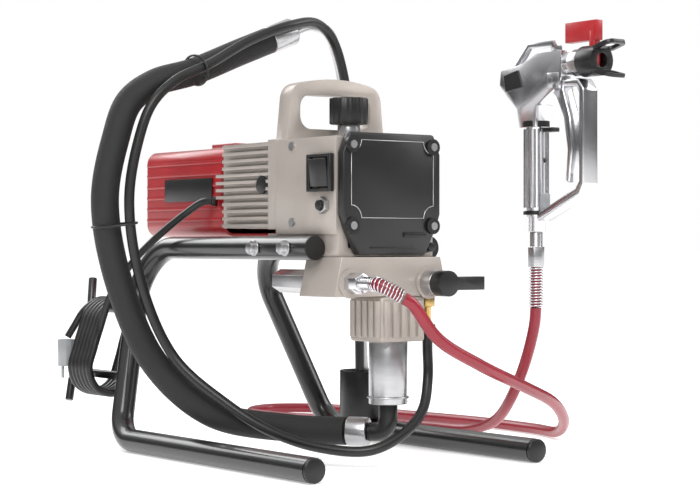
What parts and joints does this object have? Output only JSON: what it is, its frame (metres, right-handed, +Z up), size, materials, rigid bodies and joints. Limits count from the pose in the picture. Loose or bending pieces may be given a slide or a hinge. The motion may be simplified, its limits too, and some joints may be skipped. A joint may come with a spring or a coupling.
{
  "type": "airless paint sprayer",
  "caption": "Piston-pump airless paint sprayer on a bent-tube skid, with suction set, wound mains lead, paint hose and spray gun.",
  "frame": {"origin": "on the floor, at the centre of the sprayer's footprint without its free cords", "axes": "+Z up, -Y towards the sprayer's front cover, +X to the right seen from the front"},
  "size_m": [0.5767, 0.6883, 0.4902],
  "materials": {
    "black_paint": "gloss black powder coat",
    "black_plastic": "satin moulded",
    "champagne_cast": "fine cast, champagne grey",
    "red_plastic": "satin moulded",
    "red_hose": "smooth satin",
    "black_rubber": "satin",
    "steel": "brushed",
    "chrome": "polished",
    "brass": "machined",
    "grey_plug": "grey moulded",
    "copper_winding": "varnished winding"
  },
  "bodies": {
    "root": {"brush_cap": "black_plastic", "cord_coil": "black_rubber", "cord_gland": "black_plastic", "cord_tail": "black_rubber", "drip_cup": "black_plastic", "filter_tube": "steel", "front_cover": "black_plastic", "gear_housing": "champagne_cast", "gun_hose_guard": "chrome", "gun_swivel": "steel", "hose_clamp": "black_plastic", "knob_collar": "steel", "left_runner_cap": "black_plastic", "left_skid_bolt_1": "steel", "left_skid_bolt_2": "steel", "left_skid_tube": "black_paint", "lower_cord_hook": "black_paint", "lower_ferrule": "steel", "mains_plug": "grey_plug", "manifold_block": "champagne_cast", "motor_bell": "champagne_cast", "motor_shroud": "red_plastic", "outlet_nipple": "chrome", "paint_hose": "red_hose", "power_cord": "black_rubber", "pump_block": "champagne_cast", "pump_cylinder": "steel", "pump_hose_guard": "chrome", "reset_nut": "steel", "return_barb": "brass", "return_hose": "black_rubber", "right_runner_cap": "black_plastic", "right_skid_bolt_1": "steel", "right_skid_bolt_2": "steel", "right_skid_tube": "black_paint", "siphon_tube": "steel", "stator": "copper_winding", "strainer": "steel", "suction_elbow": "black_plastic", "suction_hose": "black_rubber", "switch_bezel": "black_plastic", "upper_cord_hook": "black_paint", "upper_ferrule": "steel", "valve_body": "steel"},
    "knob": {"pressure_knob": "black_plastic"},
    "rocker": {"rocker_switch": "black_plastic"},
    "reset": {"reset_button": "black_plastic"},
    "oiler": {"oiler_button": "black_plastic"},
    "lever": {"valve_lever": "black_plastic"},
    "motor_rotor": {"rotor": "steel"},
    "crank": {"crank_gear": "steel"},
    "piston": {"piston_rod": "chrome"},
    "gun": {"gun_body": "chrome", "trigger_guard": "chrome", "gun_head": "steel"},
    "gun_trigger": {"trigger": "chrome"},
    "gun_lock": {"trigger_lock": "black_plastic"},
    "guard": {"tip_guard": "black_plastic"},
    "tip": {"spray_tip": "red_plastic"}
  },
  "joints": [
    {"name": "knob_turn", "type": "hinge", "parent": "root", "child": "knob", "pos_m": [-0.0134, -0.1124, 0.372], "axis": [0, 0, 1], "range_deg": [0, 270]},
    {"name": "rocker_tilt", "type": "hinge", "parent": "root", "child": "rocker", "pos_m": [-0.0809, -0.1534, 0.3045], "axis": [0, 1, 0], "range_deg": [0, 10]},
    {"name": "reset_press", "type": "slide", "parent": "root", "child": "reset", "axis": [1, 0, 0], "range_m": [0, 0.002], "stiffness_N_per_m": 200},
    {"name": "oiler_press", "type": "slide", "parent": "root", "child": "oiler", "axis": [0, 1, 0], "range_m": [0, 0.003], "stiffness_N_per_m": 200},
    {"name": "prime_valve_turn", "type": "hinge", "parent": "root", "child": "lever", "pos_m": [0.0346, -0.2144, 0.19], "axis": [0, 1, 0], "range_deg": [0, 90]},
    {"name": "motor_spin", "type": "hinge", "parent": "root", "child": "motor_rotor", "pos_m": [-0.0134, -0.0094, 0.295], "axis": [0, 1, 0], "continuous": true},
    {"name": "crank_spin", "type": "hinge", "parent": "root", "child": "crank", "pos_m": [0.0016, -0.1394, 0.26009], "axis": [0, 1, 0], "continuous": true},
    {"name": "piston_stroke", "type": "slide", "parent": "root", "child": "piston", "axis": [0, 0, 1], "range_m": [-0.012, 0.012]},
    {"name": "gun_swivel_turn", "type": "hinge", "parent": "root", "child": "gun", "pos_m": [0.2166, -0.1574, 0.245], "axis": [0, 0, 1], "range_deg": [-180, 180]},
    {"name": "trigger_pull", "type": "hinge", "parent": "gun", "child": "gun_trigger", "pos_m": [0.2166, -0.2024, 0.405], "axis": [1, 0, 0], "range_deg": [0, 15], "stiffness_Nm_per_rad": 0.6},
    {"name": "trigger_lock_flip", "type": "hinge", "parent": "gun", "child": "gun_lock", "pos_m": [0.2166, -0.1751, 0.3585], "axis": [1, 0, 0], "range_deg": [0, 70]},
    {"name": "tip_guard_turn", "type": "hinge", "parent": "gun", "child": "guard", "pos_m": [0.2166, -0.2494, 0.43], "axis": [0, 1, 0], "range_deg": [0, 90]},
    {"name": "spray_tip_turn", "type": "hinge", "parent": "guard", "child": "tip", "pos_m": [0.2166, -0.2504, 0.44], "axis": [0, 0, 1], "range_deg": [0, 180]}
  ],
  "couplings": [
    {"joint": "crank_spin", "follows": "motor_spin", "ratio": -0.25}
  ]
}
